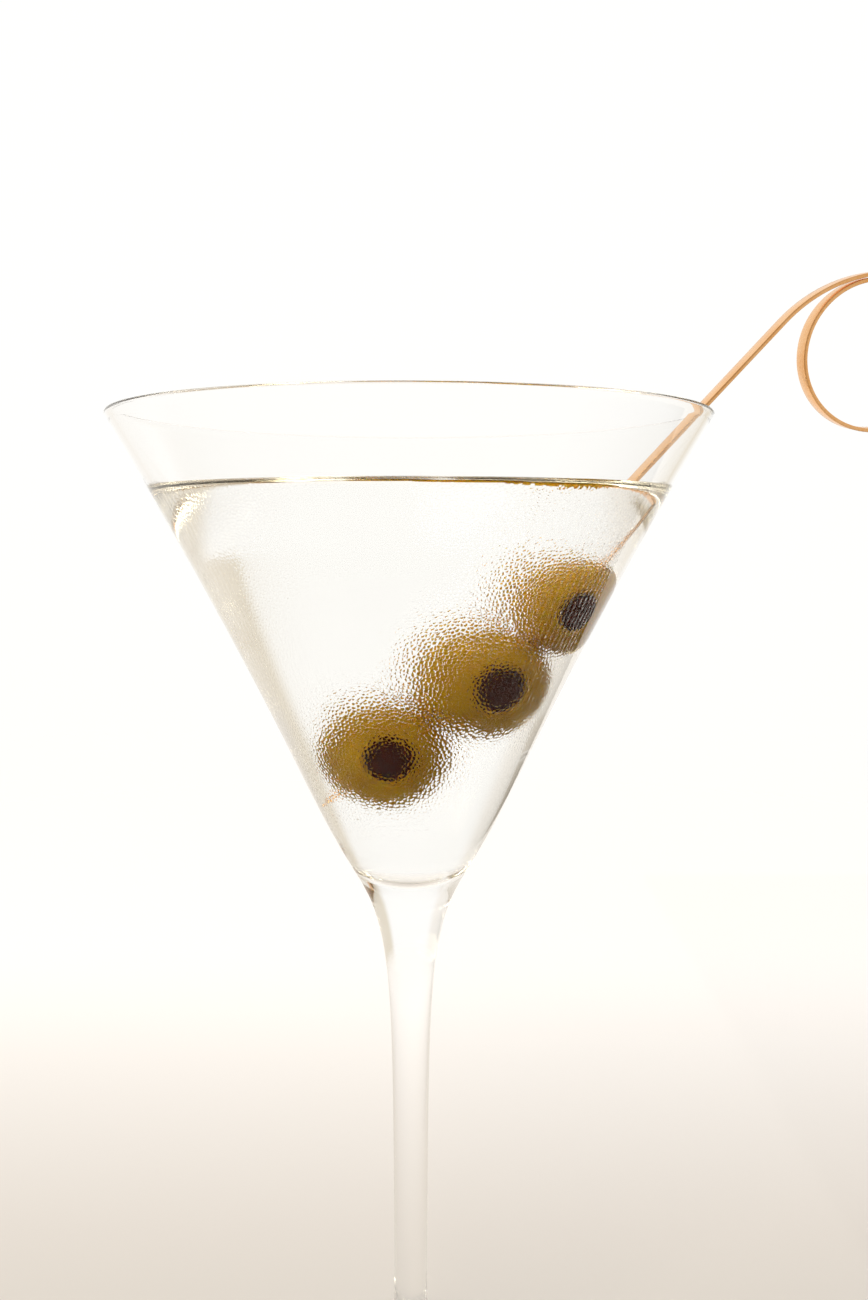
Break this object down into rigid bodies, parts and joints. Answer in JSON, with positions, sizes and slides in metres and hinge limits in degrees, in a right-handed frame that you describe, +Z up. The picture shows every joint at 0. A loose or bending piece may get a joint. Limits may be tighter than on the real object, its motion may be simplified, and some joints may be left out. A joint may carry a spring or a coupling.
{
  "type": "martini cocktail",
  "caption": "Clear martini in a tall stemmed cone glass, garnished with stuffed olives on a flat copper pick whose end is curled into a ring.",
  "frame": {"origin": "centre of the foot's underside", "axes": "+Z up along the stem, the viewer of the picture at -Y, the pick's ring towards +X"},
  "size_m": [0.1443, 0.104, 0.2047],
  "materials": {
    "glass": "clear, polished, with dew on the outside",
    "drink": "clear, very slightly warm",
    "olive": "smooth wet olive skin, yellow green",
    "pimento": "wet dark red stuffing",
    "copper": "polished copper"
  },
  "bodies": {
    "root": {"glass": "glass", "drink": "drink", "olive_1": "olive", "olive_2": "olive", "olive_3": "olive", "pimento_1": "pimento", "pimento_2": "pimento", "pimento_3": "pimento", "pick": "copper"}
  },
  "joints": []
}
